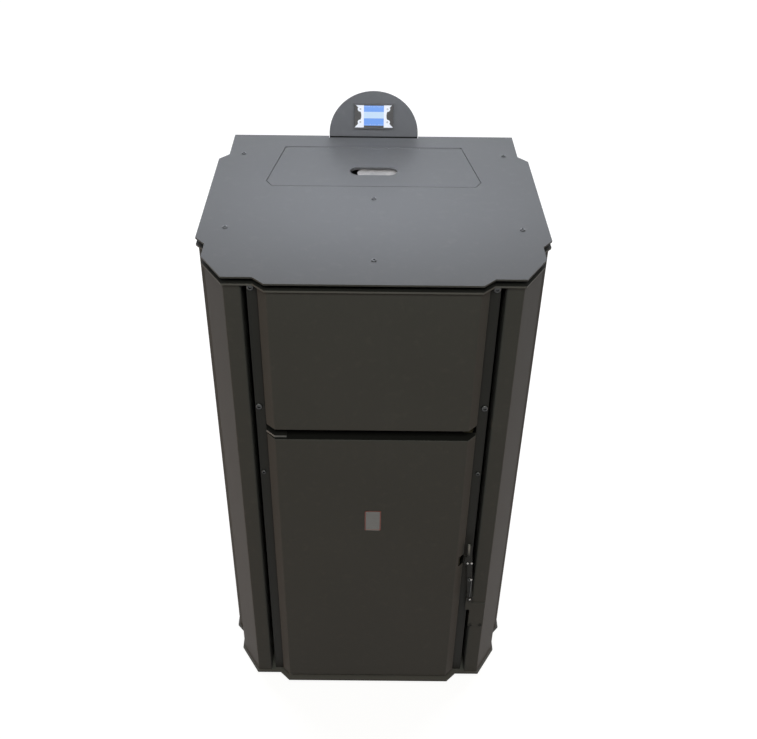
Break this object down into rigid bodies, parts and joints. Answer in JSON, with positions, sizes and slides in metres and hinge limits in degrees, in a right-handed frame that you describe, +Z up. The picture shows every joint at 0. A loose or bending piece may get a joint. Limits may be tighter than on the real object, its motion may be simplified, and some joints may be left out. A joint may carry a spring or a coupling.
{
  "type": "pellet boiler",
  "caption": "Floor-standing pellet boiler: bevelled sheet-metal cabinet with a swing door, a latch lever, a hinged hopper lid and a half-round display panel.",
  "frame": {"origin": "on the floor, under the centre of the boiler's overall box, the flue spigot included", "axes": "+Z up, -Y out of the front with the door, +X to the right as seen by someone facing the front"},
  "size_m": [0.6, 0.635, 1.135],
  "materials": {
    "casing_paint": "satin anthracite powder coat with a fine grain",
    "frame_paint": "satin black paint",
    "zinc_steel": "zinc-coated sheet, dull",
    "bright_steel": "bare machined steel",
    "screw_steel": "dark zinc-coated screws",
    "boiler_steel": "primed boiler plate",
    "hot_steel": "heat-blued steel plate",
    "pot_iron": "sand-cast, matte",
    "wool": "mineral wool board",
    "glass_rope": "braided glass rope",
    "seal_rubber": "soft black rubber",
    "display_plastic": "fine-grained black plastic",
    "display_glass": "clear glossy screen window over a lit panel",
    "device_plastic": "moulded black plastic",
    "rocker_plastic": "glossy black plastic",
    "motor_paint": "black motor paint",
    "fan_metal": "pressed sheet, dull",
    "pipe_brass": "machined brass"
  },
  "bodies": {
    "cabinet": {"top_cover": "casing_paint", "upper_front_panel": "casing_paint", "corner_post_left": "casing_paint", "corner_post_right": "casing_paint", "side_panel_left": "casing_paint", "side_panel_right": "casing_paint", "rear_panel": "casing_paint", "control_panel": "casing_paint", "cover_hinge_leaf": "casing_paint", "latch_bracket": "casing_paint", "base_plate": "casing_paint", "top_frame": "casing_paint", "front_upright_left": "frame_paint", "front_upright_right": "frame_paint", "front_rail": "frame_paint", "door_pivot_brackets": "frame_paint", "cover_spacers": "zinc_steel", "boiler_rails": "zinc_steel", "pellet_hopper": "zinc_steel", "auger_tube": "zinc_steel", "drop_chute": "zinc_steel", "levelling_feet": "zinc_steel", "smoke_box_cover": "zinc_steel", "latch_pivot": "bright_steel", "lid_hinge_pin": "bright_steel", "flue_spigot": "bright_steel", "igniter": "bright_steel", "cover_screws": "screw_steel", "channel_screws": "screw_steel", "boiler_jacket": "boiler_steel", "flue_collector": "boiler_steel", "fire_tubes": "boiler_steel", "firebox": "hot_steel", "burner_shelf": "hot_steel", "ash_drawer": "hot_steel", "turbulators": "hot_steel", "burner_pot": "pot_iron", "boiler_insulation": "wool", "display_module": "display_plastic", "display_screen": "display_glass", "power_inlet": "device_plastic", "control_box": "device_plastic", "auger_motor": "motor_paint", "fan_motor": "motor_paint", "fan_housing": "fan_metal", "water_pipes": "pipe_brass"},
    "door": {"door_pan": "casing_paint", "door_insulation": "wool", "door_inner_plate": "hot_steel", "door_rope_seal": "glass_rope", "door_hinge_plates": "zinc_steel"},
    "lid": {"hopper_lid": "casing_paint", "lid_finger_cup": "zinc_steel", "lid_seal": "seal_rubber", "lid_hinge_leaf": "casing_paint"},
    "latch": {"latch_lever": "frame_paint", "latch_pins": "bright_steel"},
    "auger": {"auger_screw": "bright_steel"},
    "fan": {"fan_impeller": "fan_metal"},
    "switch": {"switch_rocker": "rocker_plastic"}
  },
  "joints": [
    {"name": "door_hinge", "type": "hinge", "parent": "cabinet", "child": "door", "pos_m": [-0.168, -0.2995, 0.38], "axis": [0, 0, -1], "range_deg": [0, 110]},
    {"name": "lid_hinge", "type": "hinge", "parent": "cabinet", "child": "lid", "pos_m": [0, 0.1995, 1.0376], "axis": [-1, 0, 0], "range_deg": [0, 100]},
    {"name": "latch_turn", "type": "hinge", "parent": "cabinet", "child": "latch", "pos_m": [0.2056, -0.3028, 0.2835], "axis": [0, 1, 0], "range_deg": [0, 75]},
    {"name": "auger_turn", "type": "hinge", "parent": "cabinet", "child": "auger", "pos_m": [0, 0.1125, 0.47], "axis": [0, 1, 0], "continuous": true},
    {"name": "fan_turn", "type": "hinge", "parent": "cabinet", "child": "fan", "pos_m": [0, 0.0625, 0.12], "axis": [0, 1, 0], "continuous": true},
    {"name": "switch_tilt", "type": "hinge", "parent": "cabinet", "child": "switch", "pos_m": [-0.1765, 0.2535, 0.33], "axis": [1, 0, 0], "range_deg": [0, 16]}
  ]
}
